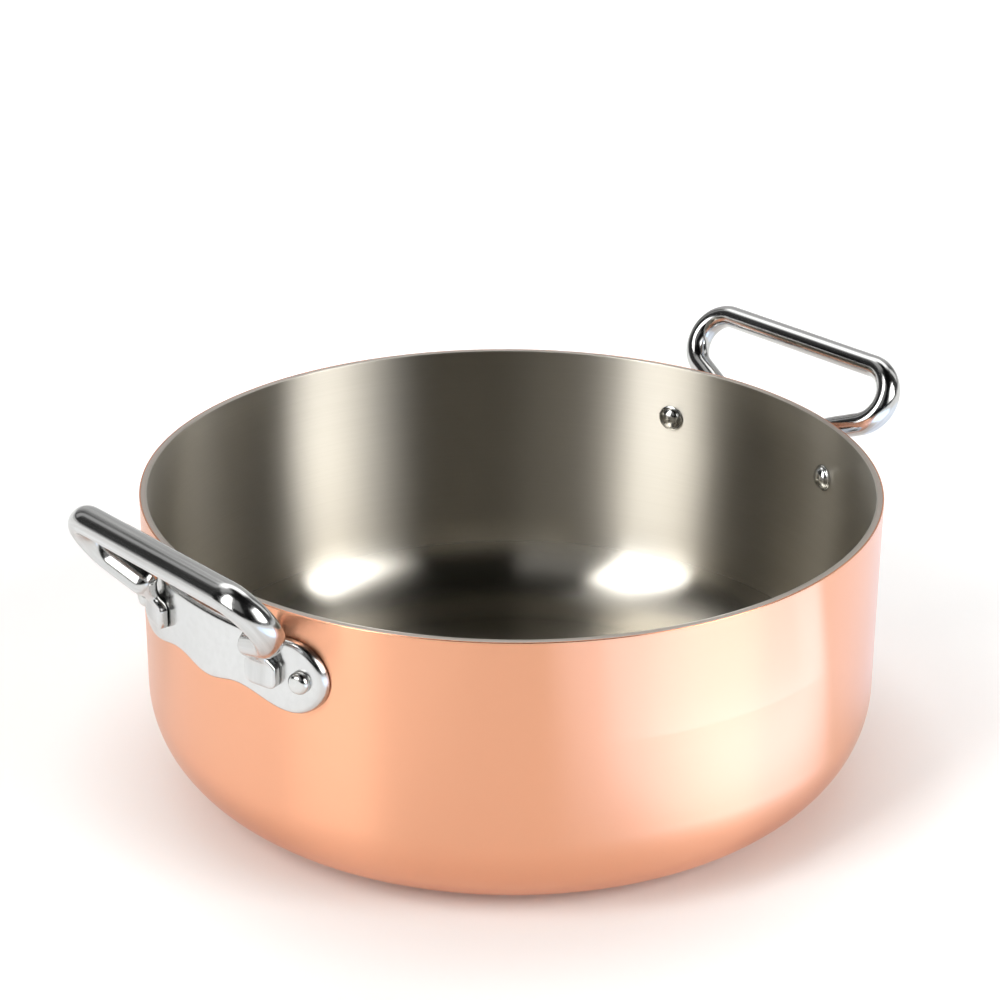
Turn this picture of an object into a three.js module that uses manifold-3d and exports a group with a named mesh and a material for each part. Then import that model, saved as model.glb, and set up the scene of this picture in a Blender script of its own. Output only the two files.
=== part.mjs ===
// Shallow casserole: a three-layer pot with two riveted loop handles.
// Millimetres, +Z up, origin at the centre of the flat bottom, handles on +X and -X.

import * as THREE from 'three';
import { mergeVertices } from 'three/addons/utils/BufferGeometryUtils.js';
import Module from 'manifold-3d';

// Pot: room inside, the three layers of its wall, and the corner between wall and floor
const innerDiameter = 240;
const linerThickness = 0.5;
const coreThickness = 1.5;
const copperThickness = 0.5;
const potHeight = 99;
const innerCornerRadius = 29.5;

// Handle plate: a strip curved to the wall, with a round lobe at each end and a wavy lower edge
const plateThickness = 3;
const lobeRadius = 12;
const lobeInset = 4;
const lobeDrop = 20;
const waistOffset = 15;
const waistRise = 3.5;
const bellyRise = 1;

// Lug that stands up behind the plate's top edge, beside the loop's left foot as seen from outside
const lugOffset = 17;
const lugLength = 10;
const lugHeight = 3.5;
const lugThickness = 1.5;

// Rivets: low button head outside, domed head on a thin flange inside
const shankDiameter = 5;
const outerHeadDiameter = 7;
const outerHeadHeight = 2.6;
const innerHeadDiameter = 9.5;
const innerHeadHeight = 3;
const flangeThickness = 0.7;

// Loop: oval bar, deeper square to the loop than along it, whose ends turn in and are flattened into
// tongues on the plate
const barWidth = 8.1;
const barDepth = 9.9;
const barReach = 19.5;
const barRise = 13.8;
const loopHalfWidth = 45;
const bendRadius = 11;
const footOffset = 28;
const footDrop = 8;
const neckWidth = 6.5;
const neckLength = 7;
const tongueWidth = 12;
const tongueThickness = 3.2;
const tongueLength = 16;
const tongueCorner = 3;

// Clearances between pieces that are pressed, riveted or welded together, and from tongue to rivet head
const seatGap = 0.3;
const holeGap = 0.3;
const headGap = 0.9;

// Chords round the pot, the plates' curve, a rivet and the bar, and along a corner and the loop
const potSegments = 60;
const plateSegments = 120;
const smallSegments = 16;
const barSides = 12;
const arcSteps = 7;
const loopSteps = 60;

const innerRadius = innerDiameter / 2;
const coreRadius = innerRadius + linerThickness;
const copperRadius = coreRadius + coreThickness;
const potRadius = copperRadius + copperThickness;
const plateBack = potRadius + seatGap;
const plateFront = plateBack + plateThickness;
const weldFace = plateFront + seatGap;
const barRadius = barWidth / 2;
const footRadius = weldFace + barDepth / 2;
const rivetOffset = footOffset + tongueWidth / 2 + headGap + outerHeadDiameter / 2;
const lobeOffset = rivetOffset - lobeInset;

const wasm = await Module();
wasm.setup();

// A closed three.js geometry as a solid that can be joined and cut
function solid(geometry) {
  const bare = geometry.clone();
  bare.deleteAttribute('normal');
  bare.deleteAttribute('uv');
  const merged = mergeVertices(bare, 1e-5);
  return new wasm.Manifold(new wasm.Mesh({
    numProp: 3,
    vertProperties: new Float32Array(merged.attributes.position.array),
    triVerts: new Uint32Array(merged.index.array),
  }));
}

function geometryOf(body) {
  const mesh = body.getMesh();
  const geometry = new THREE.BufferGeometry();
  geometry.setAttribute('position', new THREE.BufferAttribute(new Float32Array(mesh.vertProperties), 3));
  geometry.setIndex(new THREE.BufferAttribute(new Uint32Array(mesh.triVerts), 1));
  const faceted = geometry.toNonIndexed();
  faceted.computeVertexNormals();
  return faceted;
}

// Turns an [radius, height] outline round the Z axis
function turned(outline, segments) {
  const points = outline.map(([radius, height]) => new THREE.Vector2(radius, height));
  return new THREE.LatheGeometry(points, segments).rotateX(Math.PI / 2);
}

// Turns an [radius, distance] outline round a line that leaves the pot's axis at an angle and height
function turnedAlongRay(outline, angle, height) {
  const points = outline.map(([radius, distance]) => new THREE.Vector2(radius, distance));
  return new THREE.LatheGeometry(points, smallSegments)
    .rotateZ(-Math.PI / 2)
    .rotateZ(angle)
    .translate(0, 0, height);
}

// Outline of one face of the wall, from the middle of the floor to the rim.
// All faces share the corner's centre, so every layer keeps its thickness round the corner.
const cornerCentre = new THREE.Vector2(
  innerRadius - innerCornerRadius,
  linerThickness + coreThickness + copperThickness + innerCornerRadius,
);

function wallFace(radius) {
  const corner = radius - cornerCentre.x;
  const face = [[0, cornerCentre.y - corner]];
  for (let step = 0; step <= arcSteps; step += 1) {
    const angle = (step / arcSteps - 1) * Math.PI / 2;
    face.push([cornerCentre.x + corner * Math.cos(angle), cornerCentre.y + corner * Math.sin(angle)]);
  }
  face.push([radius, potHeight]);
  return face;
}

function wallLayer(fromRadius, toRadius) {
  return turned([...wallFace(toRadius), ...wallFace(fromRadius).reverse()], potSegments);
}

// Rivets stand square to the wall, so each hole and each rivet lies on a ray from the pot's axis
const rivetHeight = potHeight - lobeDrop;
const rivetAngle = Math.asin(rivetOffset / potRadius);
const handleAngles = [0, Math.PI];

function rivetHole(angle) {
  const radius = shankDiameter / 2 + holeGap;
  const outline = [
    [0, cornerCentre.x],
    [radius, cornerCentre.x],
    [radius, plateFront + lobeRadius],
    [0, plateFront + lobeRadius],
  ];
  return solid(turnedAlongRay(outline, angle, rivetHeight));
}

function drilled(geometry) {
  let body = solid(geometry);
  for (const handle of handleAngles) {
    body = body.subtract(rivetHole(handle + rivetAngle));
    body = body.subtract(rivetHole(handle - rivetAngle));
  }
  return geometryOf(body);
}

// The inner head's flange clears the hollow of the wall at its edge
function rivetGeometry(angle) {
  const innerHeadRadius = innerHeadDiameter / 2;
  const wallFlat = innerRadius * Math.cos(Math.PI / potSegments);
  const innerSeat = Math.sqrt(wallFlat ** 2 - innerHeadRadius ** 2) - seatGap;
  const flangeTop = innerSeat - flangeThickness;
  const domeHeight = innerHeadHeight - flangeThickness;
  const domeRadius = innerHeadRadius - flangeThickness;
  const chamfer = outerHeadHeight / 4;
  const outerHeadRadius = outerHeadDiameter / 2;
  const outline = [];
  for (let step = 0; step <= 4; step += 1) {
    const angleUp = (1 - step / 4) * Math.PI / 2;
    outline.push([domeRadius * Math.cos(angleUp), flangeTop - domeHeight * Math.sin(angleUp)]);
  }
  outline[0][0] = 0;
  outline.push(
    [innerHeadRadius, flangeTop],
    [innerHeadRadius, innerSeat],
    [shankDiameter / 2, innerSeat],
    [shankDiameter / 2, weldFace],
    [outerHeadRadius, weldFace],
    [outerHeadRadius, weldFace + outerHeadHeight - chamfer],
    [outerHeadRadius - chamfer, weldFace + outerHeadHeight],
    [0, weldFace + outerHeadHeight],
  );
  return turnedAlongRay(outline, angle, rivetHeight);
}

// A ring of the wall's curvature, cut to an outline that is pushed out along +X
function curvedSheet(shape, fromRadius, toRadius) {
  const low = potHeight - 2 * (lobeDrop + lobeRadius);
  const high = potHeight + lobeDrop + lugHeight;
  const ring = turned([
    [toRadius, low],
    [toRadius, high],
    [fromRadius, high],
    [fromRadius, low],
    [toRadius, low],
  ], plateSegments);
  const punch = new THREE.ExtrudeGeometry(shape, {
    depth: toRadius,
    bevelEnabled: false,
    curveSegments: 12,
  });
  punch.rotateX(Math.PI / 2).rotateZ(Math.PI / 2).translate(cornerCentre.x / 2, 0, 0);
  return solid(ring).intersect(solid(punch));
}

function plateGeometry() {
  const plateTop = potHeight - lobeDrop + lobeRadius;
  const plateBottom = potHeight - lobeDrop - lobeRadius;
  const waist = plateBottom + waistRise;
  const belly = plateBottom + bellyRise;
  const lobeLead = (lobeOffset - waistOffset) / 2;
  const waistLead = waistOffset / 2;
  const outline = new THREE.Shape();
  outline.moveTo(lobeOffset, plateTop);
  outline.lineTo(-lobeOffset, plateTop);
  outline.absarc(-lobeOffset, potHeight - lobeDrop, lobeRadius, Math.PI / 2, 3 * Math.PI / 2, false);
  outline.bezierCurveTo(
    -lobeOffset + lobeLead, plateBottom, -waistOffset - lobeLead, waist, -waistOffset, waist,
  );
  outline.bezierCurveTo(-waistOffset + waistLead, waist, -waistLead, belly, 0, belly);
  outline.bezierCurveTo(waistLead, belly, waistOffset - waistLead, waist, waistOffset, waist);
  outline.bezierCurveTo(
    waistOffset + lobeLead, waist, lobeOffset - lobeLead, plateBottom, lobeOffset, plateBottom,
  );
  outline.absarc(lobeOffset, potHeight - lobeDrop, lobeRadius, -Math.PI / 2, Math.PI / 2, false);
  const lug = new THREE.Shape();
  lug.moveTo(-lugOffset - lugLength / 2, plateTop - lugHeight);
  lug.lineTo(-lugOffset + lugLength / 2, plateTop - lugHeight);
  lug.lineTo(-lugOffset + lugLength / 2, plateTop + lugHeight);
  lug.lineTo(-lugOffset - lugLength / 2, plateTop + lugHeight);
  lug.closePath();
  const plate = curvedSheet(outline, plateBack, plateFront)
    .add(curvedSheet(lug, plateBack, plateBack + lugThickness))
    .subtract(rivetHole(rivetAngle))
    .subtract(rivetHole(-rivetAngle));
  return geometryOf(plate);
}

// The loop is bent flat: x runs from the feet to the bar, y along the bar. Each leg leaves its foot
// on the tangent of its bend. The flat loop is then tilted to lead from the plate up to the bar.
function loopGeometry() {
  const footHeight = potHeight - footDrop;
  const footX = Math.sqrt(footRadius ** 2 - footOffset ** 2);
  const run = potRadius + barReach - footX;
  const rise = barRise + footDrop;
  const reach = Math.hypot(run, rise);
  const tilt = Math.atan2(rise, run);

  const bendX = reach - bendRadius;
  const bendY = loopHalfWidth - bendRadius;
  const fromFoot = new THREE.Vector2(bendX, bendY - footOffset);
  const legAngle = fromFoot.angle() + Math.asin(bendRadius / fromFoot.length());
  const bendStart = legAngle + Math.PI / 2;
  const flat = new THREE.Path();
  flat.moveTo(0, footOffset);
  flat.lineTo(bendX + bendRadius * Math.cos(bendStart), bendY + bendRadius * Math.sin(bendStart));
  flat.absarc(bendX, bendY, bendRadius, bendStart, 0, true);
  flat.absarc(bendX, -bendY, bendRadius, 0, -bendStart, true);
  flat.lineTo(0, -footOffset);
  const axis = new THREE.CatmullRomCurve3(
    flat.getSpacedPoints(loopSteps).map((point) => new THREE.Vector3(point.x, point.y, 0)),
  );
  const section = new THREE.Shape();
  section.absarc(0, 0, barRadius, 0, 2 * Math.PI, false);
  const bar = new THREE.ExtrudeGeometry(section, {
    steps: loopSteps,
    extrudePath: axis,
    curveSegments: barSides / 2,
  });
  const oval = barDepth / barWidth;
  bar.scale(1, 1, oval).rotateY(-tilt).translate(footX, 0, footHeight);

  let loop = solid(bar);
  for (const side of [-1, 1]) {
    const end = new THREE.SphereGeometry(barRadius, barSides, barSides / 2)
      .scale(1, 1, oval)
      .rotateY(-tilt)
      .translate(footX, side * footOffset, footHeight);
    loop = loop.add(solid(end)).add(tongue(side * Math.asin(footOffset / footRadius)));
  }
  return geometryOf(loop);
}

// A tongue hangs from the bar's end on a round neck that tapers, and lies flat against the plate
function tongue(angle) {
  const top = potHeight - footDrop;
  const bottom = top - tongueLength;
  const shoulder = (top - barRadius + bottom + tongueCorner) / 2;
  const half = tongueWidth / 2;
  const neck = neckWidth / 2;
  const outline = new THREE.Shape();
  outline.moveTo(-neck, top);
  outline.lineTo(-neck, top - barRadius);
  outline.bezierCurveTo(-neck, shoulder, -half, top - barRadius, -half, shoulder);
  outline.lineTo(-half, bottom + tongueCorner);
  outline.absarc(-half + tongueCorner, bottom + tongueCorner, tongueCorner, Math.PI, 1.5 * Math.PI, false);
  outline.absarc(half - tongueCorner, bottom + tongueCorner, tongueCorner, -Math.PI / 2, 0, false);
  outline.lineTo(half, shoulder);
  outline.bezierCurveTo(half, top - barRadius, neck, shoulder, neck, top - barRadius);
  outline.lineTo(neck, top);
  outline.closePath();
  const sheet = new THREE.ExtrudeGeometry(outline, {
    depth: tongueThickness,
    bevelEnabled: false,
    curveSegments: 6,
  });
  sheet.rotateX(Math.PI / 2).rotateZ(Math.PI / 2).translate(weldFace, 0, 0).rotateZ(angle);
  const taper = new THREE.CylinderGeometry(barRadius, neck, neckLength, barSides)
    .rotateX(Math.PI / 2)
    .translate(footRadius, 0, top - neckLength / 2)
    .rotateZ(angle);
  return solid(sheet).add(solid(taper));
}

const copper = { color: 0xeeae8a, roughness: 0.22, metalness: 1 };
const aluminium = { color: 0xc9c8c6, roughness: 0.45, metalness: 1 };
const satinSteel = { color: 0x9c978c, roughness: 0.35, metalness: 1 };
const polishedSteel = { color: 0xd8d8d8, roughness: 0.12, metalness: 1 };

function piece(name, geometry, finish) {
  const mesh = new THREE.Mesh(geometry, new THREE.MeshStandardMaterial(finish));
  mesh.name = name;
  return mesh;
}

const casserole = new THREE.Group();
casserole.add(piece('copper_body', drilled(wallLayer(copperRadius, potRadius)), copper));
casserole.add(piece('aluminium_core', drilled(wallLayer(coreRadius, copperRadius)), aluminium));
casserole.add(piece('steel_liner', drilled(wallLayer(innerRadius, coreRadius)), satinSteel));

for (const [side, turn] of [['right', 0], ['left', Math.PI]]) {
  const handle = new THREE.Group();
  handle.rotation.z = turn;
  handle.add(piece(`${side}_handle_plate`, plateGeometry(), polishedSteel));
  handle.add(piece(`${side}_handle_loop`, loopGeometry(), polishedSteel));
  const frontAngle = side === 'right' ? -rivetAngle : rivetAngle;
  handle.add(piece(`${side}_front_rivet`, rivetGeometry(frontAngle), polishedSteel));
  handle.add(piece(`${side}_back_rivet`, rivetGeometry(-frontAngle), polishedSteel));
  casserole.add(handle);
}

export default casserole;
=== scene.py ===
import math

import bmesh
import bpy
import numpy as np
from mathutils import Matrix, Vector


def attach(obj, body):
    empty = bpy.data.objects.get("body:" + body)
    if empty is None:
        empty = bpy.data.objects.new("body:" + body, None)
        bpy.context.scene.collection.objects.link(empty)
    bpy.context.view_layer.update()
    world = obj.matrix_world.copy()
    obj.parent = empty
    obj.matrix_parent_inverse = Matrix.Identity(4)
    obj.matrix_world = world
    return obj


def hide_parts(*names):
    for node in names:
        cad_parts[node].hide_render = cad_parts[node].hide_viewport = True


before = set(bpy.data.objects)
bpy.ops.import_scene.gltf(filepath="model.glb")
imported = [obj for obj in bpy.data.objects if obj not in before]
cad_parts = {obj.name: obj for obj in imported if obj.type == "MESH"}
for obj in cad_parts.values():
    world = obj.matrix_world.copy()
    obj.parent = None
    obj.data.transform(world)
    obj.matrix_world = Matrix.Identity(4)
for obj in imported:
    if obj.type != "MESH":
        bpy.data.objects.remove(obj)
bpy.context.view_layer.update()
mm = 0.001
mergeGap = 0.001 * mm
print("frame loaded:", len(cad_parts), "nodes")


def linear(hexColour):
    # sRGB hex to linear RGBA
    srgb = np.array([int(hexColour[k:k + 2], 16) for k in (1, 3, 5)]) / 255
    rgb = np.where(srgb <= 0.04045, srgb / 12.92, ((srgb + 0.055) / 1.055) ** 2.4)
    return (*(float(c) for c in rgb), 1.0)


def addNode(tree, kind, settings=None, links=None):
    # one node: settings are its properties, links its inputs, each a value or another node's output
    node = tree.nodes.new(kind)
    for name, value in (settings or {}).items():
        setattr(node, name, value)
    for name, value in (links or {}).items():
        if isinstance(value, bpy.types.NodeSocket):
            tree.links.new(value, node.inputs[name])
        else:
            node.inputs[name].default_value = value
    return node


def newMaterial(name):
    # an empty material and its node tree
    material = bpy.data.materials.new(name)
    material.use_nodes = True
    material.node_tree.nodes.clear()
    return material, material.node_tree


def closedShell(rings, startPole=None, endPole=None):
    # rings (n, m, 3): each ring is closed, neighbours join by quads, an end closes in a fan to its pole
    n, m = rings.shape[:2]
    points = rings.reshape(-1, 3)
    across = np.arange(m)
    along = np.arange(n - 1)[:, None] * m
    beside = (across + 1) % m
    quads = np.stack([
        along + across, along + beside, along + m + beside, along + m + across,
    ], -1).reshape(-1, 4)
    fans = []
    if startPole is not None:
        fans.append(np.stack([beside, across, np.full(m, len(points))], -1))
        points = np.vstack([points, startPole])
    if endPole is not None:
        last = (n - 1) * m
        fans.append(np.stack([last + across, last + beside, np.full(m, len(points))], -1))
        points = np.vstack([points, endPole])
    fans = np.concatenate(fans) if fans else np.zeros((0, 3), int)
    corners = np.concatenate([fans, quads[:, [0, 1, 2]], quads[:, [0, 2, 3]]])
    a, b, c = (points[corners[:, k]] for k in range(3))
    if np.einsum("ij,ij->", a, np.cross(b, c)) < 0:  # signed volume: turn an inside-out shell round
        quads, fans = quads[:, ::-1], fans[:, ::-1]
    return points, fans, quads


def makePiece(name, shells, material, node, turn=0.0, grainPlace=None):
    # shells in millimetres become one mesh in metres, turned about Z, with its place in its vertices;
    # grainPlace gives each vertex its place along and round the metal's grain
    points, fans, quads, count = [], [], [], 0
    for shellPoints, shellFans, shellQuads in shells:
        points.append(shellPoints)
        fans.append(shellFans + count)
        quads.append(shellQuads + count)
        count += len(shellPoints)
    points, fans, quads = (np.concatenate(part) for part in (points, fans, quads))
    cosine, sine = math.cos(turn), math.sin(turn)
    points = points @ np.array([[cosine, sine, 0], [-sine, cosine, 0], [0, 0, 1]]) * mm
    mesh = bpy.data.meshes.new(name)
    mesh.vertices.add(len(points))
    mesh.vertices.foreach_set("co", points.astype(np.float32).ravel())
    corners = np.concatenate([fans.ravel(), quads.ravel()]).astype(np.int32)
    mesh.loops.add(len(corners))
    mesh.loops.foreach_set("vertex_index", corners)
    starts = np.concatenate([3 * np.arange(len(fans)), 3 * len(fans) + 4 * np.arange(len(quads))])
    mesh.polygons.add(len(starts))
    mesh.polygons.foreach_set("loop_start", starts.astype(np.int32))
    mesh.polygons.foreach_set("use_smooth", np.ones(len(starts), bool))
    mesh.update(calc_edges=True)
    if grainPlace is not None:
        mesh.attributes.new("grainPlace", "FLOAT_VECTOR", "POINT").data.foreach_set(
            "vector", (np.concatenate(grainPlace) * mm).astype(np.float32).ravel()
        )
    seams = bmesh.new()
    seams.from_mesh(mesh)
    bmesh.ops.remove_doubles(seams, verts=seams.verts, dist=mergeGap)
    seams.to_mesh(mesh)
    seams.free()
    mesh.validate()
    mesh.materials.append(material)
    piece = bpy.data.objects.new(name, mesh)
    bpy.context.scene.collection.objects.link(piece)
    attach(piece, "root")
    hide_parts(node)
    return piece


def smoothStep(x, low, high):
    # 0 up to low, 1 from high on, and a smooth cubic between them
    t = np.clip((x - low) / (high - low), 0, 1)
    return t * t * (3 - 2 * t)


# pot: three pressed layers, millimetres as in the CAD
pot = {
    "innerRadius": 120.0,
    "linerThickness": 0.5,
    "coreThickness": 1.5,
    "copperThickness": 0.5,
    "height": 99.0,
    "innerCorner": 29.5,
    "edgeRound": 0.25,
    "seamRound": 0.08,
    "rimStop": 1.0,
    "floorGrindTop": 14.0,
    "wallGrindStart": 36.0,
    "around": 288,
    "floorSteps": 7,
    "cornerSteps": 40,
    "wallSteps": 8,
    "rimSteps": 7,
}
pot["coreRadius"] = pot["innerRadius"] + pot["linerThickness"]
pot["copperRadius"] = pot["coreRadius"] + pot["coreThickness"]
pot["outerRadius"] = pot["copperRadius"] + pot["copperThickness"]
pot["bottom"] = pot["linerThickness"] + pot["coreThickness"] + pot["copperThickness"]


def wallFace(radius):
    # level floor, quarter circle about the shared corner centre, then straight up to just under the rim
    centreR = pot["innerRadius"] - pot["innerCorner"]
    centreZ = pot["bottom"] + pot["innerCorner"]
    corner = radius - centreR
    floorR = np.linspace(0, centreR, pot["floorSteps"])[1:-1]
    angle = np.linspace(-math.pi / 2, 0, pot["cornerSteps"])
    wallZ = np.linspace(centreZ, pot["height"] - pot["rimStop"], pot["wallSteps"])[1:]
    return np.concatenate([
        np.stack([floorR, np.full_like(floorR, centreZ - corner)], -1),
        np.stack([centreR + corner * np.cos(angle), centreZ + corner * np.sin(angle)], -1),
        np.stack([np.full_like(wallZ, radius), wallZ], -1),
    ])


def rimRound(radius, roundness, start, stop, side):
    # quarter circle that ends a layer's edge at the rim
    angle = np.linspace(start, stop, pot["rimSteps"])
    return np.stack([
        radius - side * roundness + roundness * np.cos(angle),
        pot["height"] - roundness + roundness * np.sin(angle),
    ], -1)


def potLayer(inner, outer, innerRound, outerRound):
    # the profile runs up the outer face, over the rim and down the inner face, and turns once about Z
    profile = np.concatenate([
        wallFace(outer),
        rimRound(outer, outerRound, 0, math.pi / 2, 1),
        rimRound(inner, innerRound, math.pi / 2, math.pi, -1),
        wallFace(inner)[::-1],
    ])
    angle = np.linspace(0, 2 * math.pi, pot["around"], endpoint=False)
    radius, height = profile[:, :1], profile[:, 1:]
    rings = np.stack([
        radius * np.cos(angle),
        radius * np.sin(angle),
        np.broadcast_to(height, (len(profile), len(angle))),
    ], -1)
    return closedShell(rings, (0, 0, profile[0, 1]), (0, 0, profile[-1, 1]))


# Copper, spun and buffed round the pot: warm mirror stretched up and down by the fine buffing lines
copper = {
    "colour": "#e7a988", "lineColour": "#e5a684", "wallRough": 0.24, "floorRough": 0.24,
    "stretch": 1.0, "linePitch": 0.5, "lineLength": 90.0, "unevenness": 0.015,
}


def brushedLines(tree, look):
    # noise on (x, y, height plus radius): one line length long round the pot, one pitch wide up the wall
    # and out over the floor
    place = addNode(tree, "ShaderNodeTexCoord").outputs["Object"]
    split = addNode(tree, "ShaderNodeSeparateXYZ", links={"Vector": place})
    flat = addNode(tree, "ShaderNodeCombineXYZ", links={"X": split.outputs["X"], "Y": split.outputs["Y"]})
    radius = addNode(tree, "ShaderNodeVectorMath", {"operation": "LENGTH"}, {0: flat.outputs["Vector"]})
    rise = addNode(tree, "ShaderNodeMath", {"operation": "ADD"}, {
        0: radius.outputs["Value"], 1: split.outputs["Z"],
    })
    fine = addNode(tree, "ShaderNodeMath", {"operation": "MULTIPLY"}, {
        0: rise.outputs[0], 1: 1 / (look["linePitch"] * mm),
    })
    slow = addNode(tree, "ShaderNodeVectorMath", {"operation": "SCALE"}, {
        0: flat.outputs["Vector"], "Scale": 1 / (look["lineLength"] * mm),
    })
    slowSplit = addNode(tree, "ShaderNodeSeparateXYZ", links={"Vector": slow.outputs["Vector"]})
    joined = addNode(tree, "ShaderNodeCombineXYZ", links={
        "X": slowSplit.outputs["X"], "Y": slowSplit.outputs["Y"], "Z": fine.outputs[0],
    })
    return addNode(tree, "ShaderNodeTexNoise", links={
        "Vector": joined.outputs["Vector"], "Scale": 1.0, "Detail": 3.0, "Roughness": 0.6,
    }).outputs["Fac"]


def brushedMetal(name, look):
    material, tree = newMaterial(name)
    # real lines are about 0.1 mm apart: they are drawn coarser so that they show
    lines = brushedLines(tree, look)
    tint = addNode(tree, "ShaderNodeMix", {"data_type": "RGBA"}, {
        "Factor": lines, 6: linear(look["lineColour"]), 7: linear(look["colour"]),
    })
    place = addNode(tree, "ShaderNodeTexCoord").outputs["Object"]
    height = addNode(tree, "ShaderNodeSeparateXYZ", links={"Vector": place})
    grind = addNode(tree, "ShaderNodeMapRange", {"interpolation_type": "SMOOTHSTEP"}, {
        "Value": height.outputs["Z"],
        "From Min": pot["floorGrindTop"] * mm, "From Max": pot["wallGrindStart"] * mm,
        "To Min": look["floorRough"], "To Max": look["wallRough"],
    })
    uneven = addNode(tree, "ShaderNodeMapRange", links={
        "Value": lines, "From Min": 0.25, "From Max": 0.75,
        "To Min": 1 - look["unevenness"], "To Max": 1 + look["unevenness"],
    })
    rough = addNode(tree, "ShaderNodeMath", {"operation": "MULTIPLY"}, {
        0: grind.outputs["Result"], 1: uneven.outputs["Result"],
    })
    # the tangent runs round the pot, and a quarter turn of the stretch draws reflections out up and down
    around = addNode(tree, "ShaderNodeTangent", {"direction_type": "RADIAL", "axis": "Z"})
    surface = addNode(tree, "ShaderNodeBsdfPrincipled", links={
        "Base Color": tint.outputs[2],
        "Metallic": 1.0,
        "Roughness": rough.outputs[0],
        "Anisotropic": look["stretch"],
        "Anisotropic Rotation": 0.25,
        "Tangent": around.outputs["Tangent"],
    })
    addNode(tree, "ShaderNodeOutputMaterial", links={"Surface": surface.outputs["BSDF"]})
    return material


buffedCopper = brushedMetal("spun copper, buffed", copper)
makePiece(
    "copperShell",
    [potLayer(pot["copperRadius"], pot["outerRadius"], pot["seamRound"], pot["edgeRound"])],
    buffedCopper, "copper_body",
)

# Aluminium, turned at the rim: pale grey and a little rough, shows only as the middle of the cut edge
core = {
    "colour": "#c4b9b0", "lineColour": "#b3a89f", "wallRough": 0.34, "floorRough": 0.34,
    "stretch": 0.3, "linePitch": 0.5, "lineLength": 90.0, "unevenness": 0.08,
}
turnedAluminium = brushedMetal("turned aluminium edge", core)
makePiece(
    "coreLayer",
    [potLayer(pot["coreRadius"], pot["copperRadius"], pot["seamRound"], pot["seamRound"])],
    turnedAluminium, "aluminium_core",
)

# Stainless steel, satin ground round the pot: darker warm grey, reflections drawn out up and down
liner = {
    "colour": "#cbc6bc", "lineColour": "#c3beb3", "wallRough": 0.4, "floorRough": 0.22,
    "stretch": 1.0, "linePitch": 0.6, "lineLength": 90.0, "unevenness": 0.03,
}
satinSteel = brushedMetal("satin ground stainless steel", liner)
makePiece(
    "steelLiner",
    [potLayer(pot["innerRadius"], pot["coreRadius"], pot["edgeRound"], pot["seamRound"])],
    satinSteel, "steel_liner",
)
print("pot layers made")

# handle: plate, loop and rivets, millimetres as in the CAD, on +X before it is turned to its side
handle = {
    "seatGap": 0.3,
    "plateThickness": 3.0,
    "lobeRadius": 12.0,
    "lobeInset": 4.0,
    "lobeDrop": 20.0,
    "waistOffset": 15.0,
    "waistRise": 3.5,
    "bellyRise": 1.0,
    "frontRound": 1.7,
    "backRound": 0.4,
    "lugOffset": 17.0,
    "lugLength": 10.0,
    "lugHeight": 3.5,
    "lugThickness": 1.5,
    "lugRound": 0.4,
    "lugBackRound": 0.2,
    "lugCorner": 0.8,
    "headGap": 0.9,
    "shankDiameter": 5.0,
    "outerHeadDiameter": 7.0,
    "outerHeadHeight": 2.6,
    "innerHeadDiameter": 9.5,
    "innerHeadHeight": 3.0,
    "flangeThickness": 0.7,
    "domeEnd": 0.1,
    "buttonRound": 1.9,
    "buttonCrown": 0.15,
    "crownTop": 0.02,
    "barWidth": 8.1,
    "barDepth": 9.9,
    "barInset": 0.05,
    "seatSink": 0.05,
    "barReach": 19.5,
    "barRise": 13.8,
    "loopHalfWidth": 45.0,
    "bendRadius": 11.0,
    "footOffset": 28.0,
    "footDrop": 8.0,
    "neckWidth": 6.5,
    "tongueWidth": 12.0,
    "tongueThickness": 3.2,
    "tongueLength": 16.0,
    "tongueCorner": 3.0,
    "tongueEndThin": 0.5,
    "neckRun": (0.5, 6.0),
    "flatRun": (0.5, 9.0),
    "flareRun": (5.0, 9.5),
    "seatRun": (0.0, 8.0),
    "tongueGrain": (1, 0.2, 0.2),
    "steps": {
        "padFace": 4, "padEdge": 7, "plateSide": 81, "lobe": 33, "lug": 48,
        "leg": 14, "bend": 48, "bar": 40, "cap": 9, "barAround": 40,
        "tongue": 34, "tongueEnd": 14, "tongueAround": 56,
        "dome": 16, "headEdge": 9, "rivetAround": 48,
    },
}
handle["plateBack"] = pot["outerRadius"] + handle["seatGap"]
handle["plateFront"] = handle["plateBack"] + handle["plateThickness"]
handle["weldFace"] = handle["plateFront"] + handle["seatGap"]
handle["halfWidth"] = handle["barWidth"] / 2 - handle["barInset"]
handle["halfDepth"] = handle["barDepth"] / 2 - handle["barInset"]
handle["footRadius"] = handle["weldFace"] + handle["barDepth"] / 2
handle["rivetOffset"] = (
    handle["footOffset"] + handle["tongueWidth"] / 2 + handle["headGap"] + handle["outerHeadDiameter"] / 2
)
handle["lobeOffset"] = handle["rivetOffset"] - handle["lobeInset"]
handle["plateHeight"] = pot["height"] - handle["lobeDrop"]
steps = handle["steps"]


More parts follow.
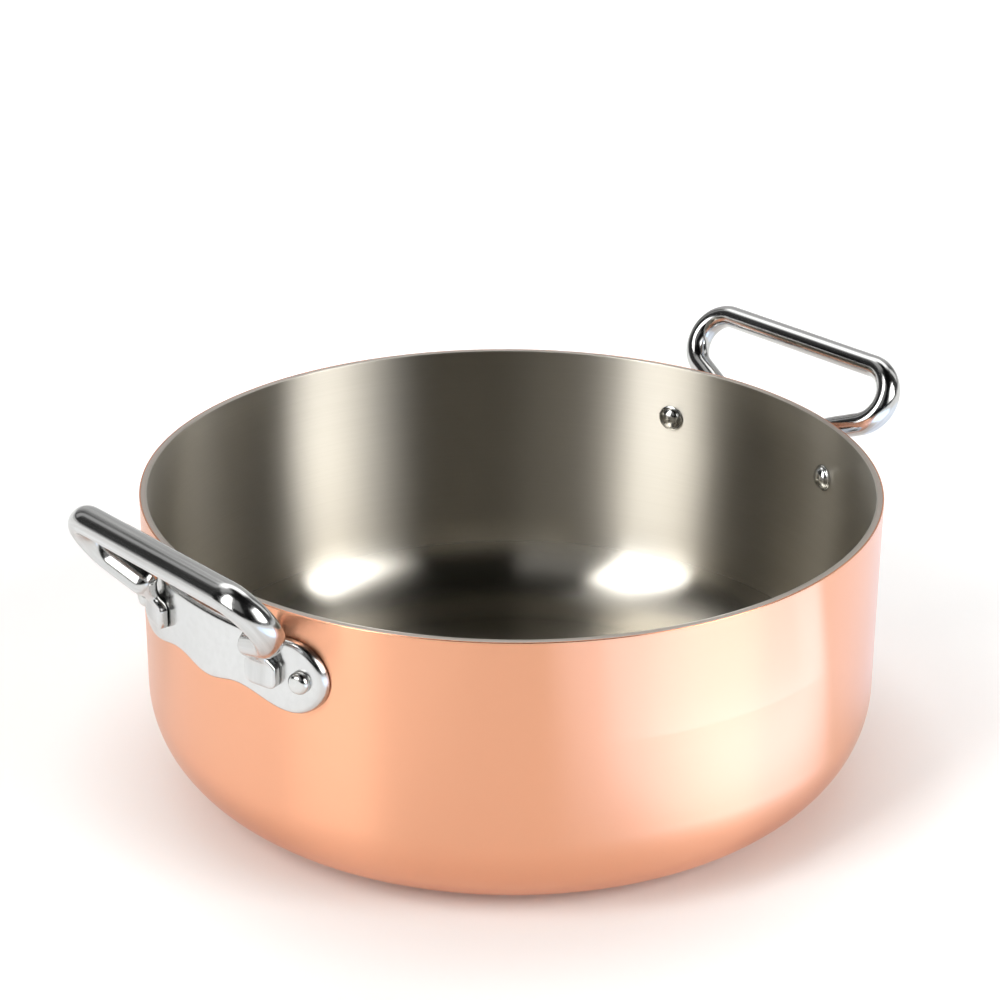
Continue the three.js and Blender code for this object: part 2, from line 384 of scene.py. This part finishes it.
def curvedPad(outline, centre, back, front, backRound, frontRound):
    # closed outline (s, t) on the wall's curve: rings run from the centre line over the back, round both
    # edges and over the front to the centre line, so the pad is closed; s stays the side offset, and x
    # comes from the radius
    chord = np.roll(outline, -1, 0) - np.roll(outline, 1, 0)
    inward = np.stack([-chord[:, 1], chord[:, 0]], -1) / np.linalg.norm(chord, axis=1)[:, None]
    angle = np.linspace(0, math.pi / 2, steps["padEdge"])[:, None, None]

    def inset(amount):
        return outline + inward * amount  # each point moved square to the outline

    share = np.linspace(1, 0, steps["padFace"], endpoint=False)[:, None, None]
    backFace = inset(backRound) * (1 - share) + centre * share
    backEdge = inset(backRound * (1 - np.sin(angle)))
    frontEdge = inset(frontRound * (1 - np.cos(angle)))
    frontFace = (inset(frontRound) * (1 - share) + centre * share)[::-1]
    flat = np.concatenate([backFace, backEdge, frontEdge, frontFace])
    radius = np.concatenate([
        np.full(len(share), back),
        back + backRound * (1 - np.cos(angle.ravel())),
        front - frontRound * (1 - np.sin(angle.ravel())),
        np.full(len(share), front),
    ])[:, None]
    side, height = flat[..., 0], flat[..., 1]
    rings = np.stack([np.sqrt(radius ** 2 - side ** 2), side, height], -1)
    return closedShell(rings)


def plateShells():
    # straight top edge, half-circle lobes, lower edge that eases from lobe to waist to belly by cosines
    lobe, reach, waist = handle["lobeRadius"], handle["lobeOffset"], handle["waistOffset"]
    side = np.linspace(-reach, reach, steps["plateSide"])
    toWaist = 0.5 - 0.5 * np.cos(math.pi * np.clip((reach - np.abs(side)) / (reach - waist), 0, 1))
    toBelly = 0.5 - 0.5 * np.cos(math.pi * np.clip((waist - np.abs(side)) / waist, 0, 1))
    lower = -lobe + handle["waistRise"] * toWaist - (handle["waistRise"] - handle["bellyRise"]) * toBelly
    arc = np.linspace(math.pi / 2, 3 * math.pi / 2, steps["lobe"])[1:-1]
    outline = np.concatenate([
        np.stack([side[::-1], np.full_like(side, lobe)], -1),
        np.stack([-reach + lobe * np.cos(arc), lobe * np.sin(arc)], -1),
        np.stack([side, lower], -1),
        np.stack([reach + lobe * np.cos(arc + math.pi), lobe * np.sin(arc + math.pi)], -1),
    ])
    centre = np.stack([np.clip(outline[:, 0], -reach, reach), np.zeros(len(outline))], -1)
    lift = np.array([0, handle["plateHeight"]])
    plate = curvedPad(
        outline + lift, centre + lift,
        handle["plateBack"], handle["plateFront"], handle["backRound"], handle["frontRound"],
    )
    halfLength, halfHeight, corner = handle["lugLength"] / 2, handle["lugHeight"], handle["lugCorner"]
    turn = np.linspace(0, 2 * math.pi, steps["lug"], endpoint=False)
    lugOutline = np.stack([
        np.sign(np.cos(turn)) * (halfLength - corner) + corner * np.cos(turn),
        np.sign(np.sin(turn)) * (halfHeight - corner) + corner * np.sin(turn),
    ], -1) + np.array([-handle["lugOffset"], handle["plateHeight"] + lobe])
    lugCentre = np.broadcast_to(lugOutline.mean(0), lugOutline.shape)
    lug = curvedPad(
        lugOutline, lugCentre,
        handle["plateBack"], handle["plateBack"] + handle["lugThickness"],
        handle["lugBackRound"], handle["lugRound"],
    )
    return [plate, lug]


def loopShells():
    # an oval bar swept along leg, bend, bar, bend, leg in one tilted plane, with half-oval ends
    footX = math.sqrt(handle["footRadius"] ** 2 - handle["footOffset"] ** 2)
    footZ = pot["height"] - handle["footDrop"]
    run = pot["outerRadius"] + handle["barReach"] - footX
    rise = handle["barRise"] + handle["footDrop"]
    reach, tilt = math.hypot(run, rise), math.atan2(rise, run)
    bend = handle["bendRadius"]
    bendX, bendY = reach - bend, handle["loopHalfWidth"] - bend
    gapY = bendY - handle["footOffset"]
    legAngle = math.atan2(gapY, bendX) + math.asin(bend / math.hypot(bendX, gapY))
    turns = np.linspace(legAngle + math.pi / 2, 0, steps["bend"])
    firstBend = np.stack([bendX + bend * np.cos(turns), bendY + bend * np.sin(turns)], -1)
    leg = np.linspace((0, handle["footOffset"]), firstBend[0], steps["leg"])[:-1]
    half = np.concatenate([leg, firstBend])
    bar = np.linspace((reach, bendY), (reach, -bendY), steps["bar"])[1:-1]
    path = np.concatenate([half, bar, half[::-1] * (1, -1)])
    along = np.gradient(path, axis=0)
    along /= np.linalg.norm(along, axis=1)[:, None]
    legWay = (firstBend[0] - path[0]) / np.linalg.norm(firstBend[0] - path[0])
    along[0], along[-1] = legWay, -legWay * (1, -1)

    cap = np.linspace(0, math.pi / 2, steps["cap"])[1:-1]
    capBack, capShare = handle["halfWidth"] * np.sin(cap), np.cos(cap)
    start = path[0] - along[0] * capBack[::-1, None]
    end = path[-1] + along[-1] * capBack[:, None]
    centre = np.concatenate([start, path, end])
    way = np.concatenate([np.repeat(along[:1], len(cap), 0), along, np.repeat(along[-1:], len(cap), 0)])
    share = np.concatenate([capShare[::-1], np.ones(len(path)), capShare])[:, None, None]
    poles = [path[0] - along[0] * handle["halfWidth"], path[-1] + along[-1] * handle["halfWidth"]]

    outward = np.array([math.cos(tilt), 0, math.sin(tilt)])
    sideways = np.array([0, 1.0, 0])
    upward = np.array([-math.sin(tilt), 0, math.cos(tilt)])
    foot = np.array([footX, 0, footZ])

    def lifted(flat):
        # from the loop's tilted plane into space
        return foot + flat[..., :1] * outward + flat[..., 1:2] * sideways

    around = np.linspace(0, 2 * math.pi, steps["barAround"], endpoint=False)[:, None]
    across = np.stack([-way[:, 1], way[:, 0]], -1)
    acrossSpace = across[:, :1] * outward + across[:, 1:] * sideways
    rings = lifted(centre)[:, None, :] + share * (
        handle["halfWidth"] * np.cos(around) * acrossSpace[:, None, :]
        + handle["halfDepth"] * np.sin(around) * upward
    )
    loop = closedShell(rings, lifted(poles[0]), lifted(poles[1]))
    length = np.concatenate([[0], np.cumsum(np.linalg.norm(np.diff(centre, axis=0), axis=1))])
    grain = np.stack(np.broadcast_arrays(
        length[:, None], handle["halfWidth"] * np.cos(around.T), handle["halfDepth"] * np.sin(around.T),
    ), -1).reshape(-1, 3)
    ends = [[0, 0, 0], [length[-1], 0, 0]]
    tongues = [tongueShell(1), tongueShell(-1)]
    tongueGrain = [points[:, [2, 0, 1]] * handle["tongueGrain"] for points, _, _ in tongues]
    return [loop, *tongues], [np.vstack([grain, ends]), *tongueGrain]


def tongueShell(side):
    # rounded section carried down from the bar's round end: it narrows to the neck, flattens and widens to
    # the tongue, keeps its back on the plate and ends in two round corners
    length, corner = handle["tongueLength"], handle["tongueCorner"]
    half, neck = handle["tongueWidth"] / 2, handle["neckWidth"] / 2
    down = np.concatenate([
        np.linspace(0, length - corner, steps["tongue"])[:-1],
        length - corner + corner * np.sin(np.linspace(0, math.pi / 2, steps["tongueEnd"])[:-1]),
    ])
    flare = smoothStep(down, *handle["flareRun"])
    ending = np.clip((down - (length - corner)) / corner, 0, 1)
    endRound = 1 - np.sqrt(1 - ending ** 2)
    taper = smoothStep(down, *handle["neckRun"])
    barHalf, halfSheet = handle["halfWidth"], handle["tongueThickness"] / 2
    width = barHalf + (neck - barHalf) * taper + (half - neck) * flare - corner * endRound
    flatten, settle = (smoothStep(down, *handle[run]) for run in ("flatRun", "seatRun"))
    thickness = barHalf + (halfSheet - barHalf) * flatten - handle["tongueEndThin"] * endRound
    back = handle["plateFront"] - handle["seatSink"]
    place = handle["footRadius"] + (back + thickness - handle["footRadius"]) * settle
    # superellipse sections: power 2, round, at the bar and power 6, boxy, at the tongue
    power = (2 / (2 + 4 * flare))[:, None]
    around = np.linspace(0, 2 * math.pi, steps["tongueAround"], endpoint=False)
    wide = width[:, None] * np.sign(np.cos(around)) * np.abs(np.cos(around)) ** power
    deep = thickness[:, None] * np.sign(np.sin(around)) * np.abs(np.sin(around)) ** power
    angle = side * math.asin(handle["footOffset"] / handle["footRadius"])
    radial = np.array([math.cos(angle), math.sin(angle), 0])
    tangent = np.array([-math.sin(angle), math.cos(angle), 0])
    top = pot["height"] - handle["footDrop"]
    centre = place[:, None] * radial + (top - down)[:, None] * np.array([0, 0, 1.0])
    rings = centre[:, None, :] + wide[..., None] * tangent + deep[..., None] * radial
    return closedShell(rings, centre[0], centre[-1] - np.array([0, 0, length - down[-1]]))


def rivetShells(angle):
    # profile of (radius, distance from the pot's axis) turned about a ray: dome, flange, shank, button head
    headRadius = handle["innerHeadDiameter"] / 2
    seat = math.sqrt(pot["innerRadius"] ** 2 - headRadius ** 2) - handle["seatSink"]
    flangeTop = seat - handle["flangeThickness"]
    dome = handle["innerHeadHeight"] - handle["flangeThickness"]
    domeRadius = headRadius - handle["flangeThickness"]
    rise = np.linspace(math.pi / 2, handle["domeEnd"], steps["dome"])[1:]
    edge = np.linspace(0, math.pi, steps["headEdge"])
    flangeHalf = handle["flangeThickness"] / 2
    button, tall = handle["outerHeadDiameter"] / 2, handle["outerHeadHeight"]
    buttonRound, topRadius = handle["buttonRound"], handle["weldFace"] + tall
    turn = np.linspace(0, math.pi / 2, steps["headEdge"])
    profile = np.concatenate([
        np.stack([domeRadius * np.cos(rise), flangeTop - dome * np.sin(rise)], -1),
        np.stack([
            headRadius - flangeHalf + flangeHalf * np.sin(edge),
            seat - flangeHalf - flangeHalf * np.cos(edge),
        ], -1),
        [[handle["shankDiameter"] / 2, seat]],
        [[handle["shankDiameter"] / 2, handle["plateFront"]]],
        [[button, handle["plateFront"]]],
        np.stack([
            button - buttonRound + buttonRound * np.cos(turn),
            topRadius - handle["buttonCrown"] - buttonRound + buttonRound * np.sin(turn),
        ], -1),
        [[button / 4, topRadius - handle["crownTop"]]],
    ])
    around = np.linspace(0, 2 * math.pi, steps["rivetAround"], endpoint=False)
    radial = np.array([math.cos(angle), math.sin(angle), 0])
    tangent = np.array([-math.sin(angle), math.cos(angle), 0])
    level = np.array([0, 0, handle["plateHeight"]])
    rings = (
        level
        + profile[:, 1, None, None] * radial
        + (profile[:, :1] * np.cos(around))[..., None] * tangent
        + (profile[:, :1] * np.sin(around))[..., None] * np.array([0, 0, 1.0])
    )
    start = level + (flangeTop - dome) * radial
    end = level + topRadius * radial
    return [closedShell(rings, start, end)]


# Stainless steel, polished: neutral grey mirror with a faint haze of polishing marks
polish = {
    "plate": {
        "colour": "#d2d2d1", "darkColour": "#bfbfbd", "roughness": 0.2,
        "bump": 0.12, "dentDepth": 0.03, "marks": (2.5, 2.5),
    },
    "bar": {
        "colour": "#d6d6d5", "darkColour": "#a9a9a7", "roughness": 0.16,
        "bump": 0.6, "dentDepth": 0.03, "marks": (45.0, 0.9),
    },
    "rivet": {
        "colour": "#d2d2d0", "darkColour": "#bebebb", "roughness": 0.18,
        "bump": 0.5, "dentDepth": 0.03, "marks": (1.2, 1.2),
    },
    "roughSpread": 0.3,
}


def polishedSteel(name, look, grain=None):
    # noise in marks of (length, width) millimetres: along the bar's own grain, or even all over a stamped
    # piece; it shifts the colour and the gloss a little and dents the surface by hundredths of a millimetre
    material, tree = newMaterial(name)
    if grain:
        place = addNode(tree, "ShaderNodeAttribute", {"attribute_name": grain}).outputs["Vector"]
    else:
        place = addNode(tree, "ShaderNodeTexCoord").outputs["Object"]
    length, width = look["marks"]
    scaled = addNode(tree, "ShaderNodeVectorMath", {"operation": "MULTIPLY"}, {
        0: place, 1: (1 / (length * mm), 1 / (width * mm), 1 / (width * mm)),
    })
    marks = addNode(tree, "ShaderNodeTexNoise", links={
        "Vector": scaled.outputs["Vector"], "Scale": 1.0, "Detail": 4.0, "Roughness": 0.6,
    })
    rough = addNode(tree, "ShaderNodeMapRange", links={
        "Value": marks.outputs["Fac"], "From Min": 0.3, "From Max": 0.7,
        "To Min": look["roughness"] * (1 - polish["roughSpread"]),
        "To Max": look["roughness"] * (1 + polish["roughSpread"]),
    })
    tint = addNode(tree, "ShaderNodeMix", {"data_type": "RGBA"}, {
        "Factor": marks.outputs["Fac"], 6: linear(look["darkColour"]), 7: linear(look["colour"]),
    })
    dents = addNode(tree, "ShaderNodeBump", links={
        "Height": marks.outputs["Fac"], "Strength": look["bump"], "Distance": look["dentDepth"] * mm,
    })
    surface = addNode(tree, "ShaderNodeBsdfPrincipled", links={
        "Base Color": tint.outputs[2],
        "Metallic": 1.0,
        "Roughness": rough.outputs["Result"],
        "Normal": dents.outputs["Normal"],
    })
    addNode(tree, "ShaderNodeOutputMaterial", links={"Surface": surface.outputs["BSDF"]})
    return material


plateSteel = polishedSteel("stamped stainless steel, polished", polish["plate"])
barSteel = polishedSteel("drawn stainless bar, mirror polished", polish["bar"], "grainPlace")
rivetSteel = polishedSteel("stainless rivet, headed and polished", polish["rivet"])

rivetAngle = math.asin(handle["rivetOffset"] / pot["outerRadius"])
for side, turn in (("right", 0.0), ("left", math.pi)):
    makePiece(side + "Plate", plateShells(), plateSteel, side + "_handle_plate", turn)
    loop, grain = loopShells()
    makePiece(side + "Loop", loop, barSteel, side + "_handle_loop", turn, grain)
    frontAngle = -rivetAngle if side == "right" else rivetAngle
    for end, angle in (("front", frontAngle), ("back", -frontAngle)):
        makePiece(
            side + end.capitalize() + "Rivet", rivetShells(angle), rivetSteel,
            f"{side}_{end}_rivet", turn,
        )
print("handles made")

# camera: the photograph's viewpoint, aimed at the middle of the rim
view = {
    "turn": math.radians(42.2),
    "rise": 0.4021,
    "distance": 0.8575,
    "focalPixels": 2586.15,
    "roll": 0.008,
    "rimAt": (511.78, 476.75),
    "imageSize": 1000.0,
    "sensor": 36.0,
    "nearest": 0.01,
}
toCamera = Vector((-math.sin(view["turn"]), -math.cos(view["turn"]), 0))
toRight = Vector((math.cos(view["turn"]), -math.sin(view["turn"]), 0))
back = toCamera * math.cos(view["rise"]) + Vector((0, 0, math.sin(view["rise"])))
levelUp = back.cross(toRight)
cameraRight = toRight * math.cos(view["roll"]) + levelUp * math.sin(view["roll"])
cameraUp = levelUp * math.cos(view["roll"]) - toRight * math.sin(view["roll"])
eye = Vector((0, 0, pot["height"] * mm)) + back * view["distance"]
cameraData = bpy.data.cameras.new("photoCamera")
cameraData.sensor_width = view["sensor"]
cameraData.lens = view["sensor"] * view["focalPixels"] / view["imageSize"]
cameraData.shift_x = (view["imageSize"] / 2 - view["rimAt"][0]) / view["imageSize"]
cameraData.shift_y = (view["rimAt"][1] - view["imageSize"] / 2) / view["imageSize"]
cameraData.clip_start = view["nearest"]
camera = bpy.data.objects.new("photoCamera", cameraData)
camera.matrix_world = Matrix((
    (cameraRight.x, cameraUp.x, back.x, eye.x),
    (cameraRight.y, cameraUp.y, back.y, eye.y),
    (cameraRight.z, cameraUp.z, back.z, eye.z),
    (0, 0, 0, 1),
))
bpy.context.scene.collection.objects.link(camera)
bpy.context.scene.camera = camera

# studio: soft panels round the table; angles in degrees across from the camera's side, plus to the right,
# and up from level; both repeats a panel at the other side, and 400 puts its far edge out of reach
studio = {
    "panels": [
        {"across": (52, 78), "up": (9, 42), "soft": (44, 3), "softUp": 6, "strength": 8.8},
        {"across": (-67, -40), "up": (28, 62), "soft": (3, 3), "softUp": 8, "strength": 7.0},
        {"across": (-67, -40), "up": (9, 28), "soft": (3, 3), "softUp": 8, "strength": 6.0},
        {"across": (-41, -3), "up": (20, 62), "soft": (4, 12), "softUp": 8, "strength": 0.25},
        {"across": (-140, -85), "up": (50, 80), "soft": (10, 10), "softUp": 8, "strength": 0.5},
        {
            "across": (145, 400), "up": (-90, 45), "soft": (30, 1), "softUp": 8, "strength": 0.65,
            "both": True,
        },
        {"across": (130, 400), "up": (45, 66), "soft": (30, 1), "softUp": 8, "strength": 2.4, "both": True},
        {"across": (94, 150), "up": (6, 60), "soft": (10, 20), "softUp": 8, "strength": 0.05, "both": True},
        {"across": (94, 150), "up": (-90, 6), "soft": (20, 20), "softUp": 6, "strength": 0.9, "both": True},
        {"across": (113, 130), "up": (12, 48), "soft": (5, 5), "softUp": 8, "strength": 1.1},
        {"across": (-130, -116), "up": (12, 48), "soft": (5, 5), "softUp": 8, "strength": 0.5},
    ],
    "floorColour": "#e4e3e1",
    "sheetColour": "#f7f7f6",
    "floorLift": 0.255,
    "contactReach": 40.0,
    "contactPower": 2.0,
    "floorHalf": 8.0,
    "rightTint": (0.63, 1.05, 1.76),
    "leftTint": (0.9, 1.0, 1.1),
    "panelLift": 2.0,
}
world = bpy.data.worlds.new("studio")
bpy.context.scene.world = world
world.use_nodes = True
sky = world.node_tree
sky.nodes.clear()
heading = addNode(sky, "ShaderNodeTexCoord").outputs["Generated"]
rightPart = addNode(sky, "ShaderNodeVectorMath", {"operation": "DOT_PRODUCT"}, {0: heading, 1: toRight})
frontPart = addNode(sky, "ShaderNodeVectorMath", {"operation": "DOT_PRODUCT"}, {0: heading, 1: toCamera})
upPart = addNode(sky, "ShaderNodeSeparateXYZ", links={"Vector": heading})
across = addNode(sky, "ShaderNodeMath", {"operation": "ARCTAN2"}, {
    0: rightPart.outputs["Value"], 1: frontPart.outputs["Value"],
})
upAngle = addNode(sky, "ShaderNodeMath", {"operation": "ARCSINE"}, {0: upPart.outputs["Z"]})
aside = addNode(sky, "ShaderNodeMath", {"operation": "ABSOLUTE"}, {0: across.outputs[0]})
glow = 0.0
for panel in studio["panels"]:
    # a panel is a product of four soft steps: left, right, low and high edge
    sideAngle = aside if panel.get("both") else across
    (left, right), (low, high) = (np.radians(panel[k]) for k in ("across", "up"))
    softLeft, softRight = np.radians(panel["soft"])
    softUp = math.radians(panel["softUp"])
    level = panel["strength"]
    for angle, middle, width, ends in (
        (sideAngle, left, softLeft, (0.0, 1.0)),
        (sideAngle, right, softRight, (1.0, 0.0)),
        (upAngle, low, softUp, (0.0, 1.0)),
        (upAngle, high, softUp, (1.0, 0.0)),
    ):
        edge = addNode(sky, "ShaderNodeMapRange", {"interpolation_type": "SMOOTHSTEP"}, {
            "Value": angle.outputs[0],
            "From Min": float(middle - width / 2), "From Max": float(middle + width / 2),
            "To Min": ends[0], "To Max": ends[1],
        })
        level = addNode(sky, "ShaderNodeMath", {"operation": "MULTIPLY"}, {
            0: edge.outputs["Result"], 1: level,
        }).outputs[0]
    glow = addNode(sky, "ShaderNodeMath", {"operation": "ADD"}, {0: level, 1: glow}).outputs[0]
seen = addNode(sky, "ShaderNodeLightPath").outputs["Is Camera Ray"]
colour = addNode(sky, "ShaderNodeMix", {"data_type": "RGBA"}, {"Factor": seen, 6: glow, 7: (1, 1, 1, 1)})
lit = addNode(sky, "ShaderNodeBackground", links={"Color": colour.outputs[2], "Strength": 1.0})
addNode(sky, "ShaderNodeOutputWorld", links={"Surface": lit.outputs["Background"]})

# light panels lying face up on the floor round the pot, hidden from the camera: the copper mirrors them
# as a broad highlight at the right and a faint one at the left; aside and ahead are metres from the pot's
# axis, and the tint evens out the copper's red
floorPanels = [
    {"aside": 0.32, "ahead": 0.140, "width": 0.28, "depth": 0.20, "radiance": 0.30},
    {"aside": 0.30, "ahead": 0.168, "width": 0.34, "depth": 0.30, "radiance": 0.50},
    {"aside": 0.28, "ahead": 0.215, "width": 0.36, "depth": 0.41, "radiance": 0.56},
    {"aside": 0.27, "ahead": 0.275, "width": 0.41, "depth": 0.53, "radiance": 0.56},
    {"aside": 0.26, "ahead": 0.350, "width": 0.40, "depth": 0.66, "radiance": 0.52},
    {"aside": 0.28, "ahead": -0.08, "width": 0.28, "depth": 0.30, "radiance": 0.25},
    {"aside": -0.30, "ahead": 0.13, "width": 0.32, "depth": 0.36, "radiance": 0.07},
    {"aside": -0.26, "ahead": 0.32, "width": 0.40, "depth": 0.72, "radiance": 0.12},
]
for panel in floorPanels:
    lampData = bpy.data.lights.new("floorPanel", "AREA")
    lampData.shape = "ELLIPSE"
    lampData.size, lampData.size_y = panel["width"], panel["depth"]
    # power of an even lamp: radiance times pi times the ellipse's area
    lampData.energy = panel["radiance"] * math.pi * math.pi / 4 * panel["width"] * panel["depth"]
    lampData.color = studio["rightTint"] if panel["aside"] > 0 else studio["leftTint"]
    lamp = bpy.data.objects.new("floorPanel", lampData)
    place = toRight * panel["aside"] + toCamera * panel["ahead"]
    lamp.matrix_world = Matrix((
        (toRight.x, toCamera.x, 0, place.x),
        (toRight.y, toCamera.y, 0, place.y),
        (0, 0, -1, studio["panelLift"] * mm),
        (0, 0, 0, 1),
    ))
    lamp.visible_camera = False
    bpy.context.scene.collection.objects.link(lamp)

# floor: matt paper that the camera and the metal see lifted to white, and that keeps the pot's shadow, with
# a painted contact shade added under the pot's lower corner
paper, tree = newMaterial("matt white paper sweep")
rays = addNode(tree, "ShaderNodeLightPath")
mirrored = addNode(tree, "ShaderNodeMath", {"operation": "MAXIMUM"}, {
    0: rays.outputs["Is Glossy Ray"], 1: rays.outputs["Is Transmission Ray"],
})
looked = addNode(tree, "ShaderNodeMath", {"operation": "MAXIMUM"}, {
    0: rays.outputs["Is Camera Ray"], 1: mirrored.outputs[0],
})
shade = addNode(tree, "ShaderNodeMix", {"data_type": "RGBA"}, {
    "Factor": looked.outputs[0], 6: linear(studio["floorColour"]), 7: linear(studio["sheetColour"]),
})
matt = addNode(tree, "ShaderNodeBsdfDiffuse", links={"Color": shade.outputs[2]})
# painted contact shade: the lift to white fades where the pot leans over the floor, so the floor is painted
# darker under the pot's lower corner; openness is 1 on the free floor and falls towards 0 there
openness = addNode(tree, "ShaderNodeAmbientOcclusion", {"samples": 8}, {
    "Distance": studio["contactReach"] * mm,
})
free = addNode(tree, "ShaderNodeMath", {"operation": "POWER"}, {
    0: openness.outputs["AO"], 1: studio["contactPower"],
})
paintedShadeLift = addNode(tree, "ShaderNodeMath", {"operation": "MULTIPLY"}, {
    0: free.outputs[0], 1: studio["floorLift"],
})
# the painted contact shade reaches the floor's emission here, for camera, glossy and transmission rays
lift = addNode(tree, "ShaderNodeMath", {"operation": "MULTIPLY"}, {
    0: looked.outputs[0], 1: paintedShadeLift.outputs[0],
})
shine = addNode(tree, "ShaderNodeEmission", links={"Color": (1, 1, 1, 1), "Strength": lift.outputs[0]})
both = addNode(tree, "ShaderNodeAddShader", links={0: matt.outputs["BSDF"], 1: shine.outputs["Emission"]})
addNode(tree, "ShaderNodeOutputMaterial", links={"Surface": both.outputs["Shader"]})
sheet = bpy.data.meshes.new("floor")
reach = studio["floorHalf"]
sheet.from_pydata(
    [(-reach, -reach, 0), (reach, -reach, 0), (reach, reach, 0), (-reach, reach, 0)], [], [(0, 1, 2, 3)],
)
sheet.materials.append(paper)
floor = bpy.data.objects.new("floor", sheet)
bpy.context.scene.collection.objects.link(floor)

bpy.context.scene.view_settings.view_transform = "Standard"
print("camera and studio made")
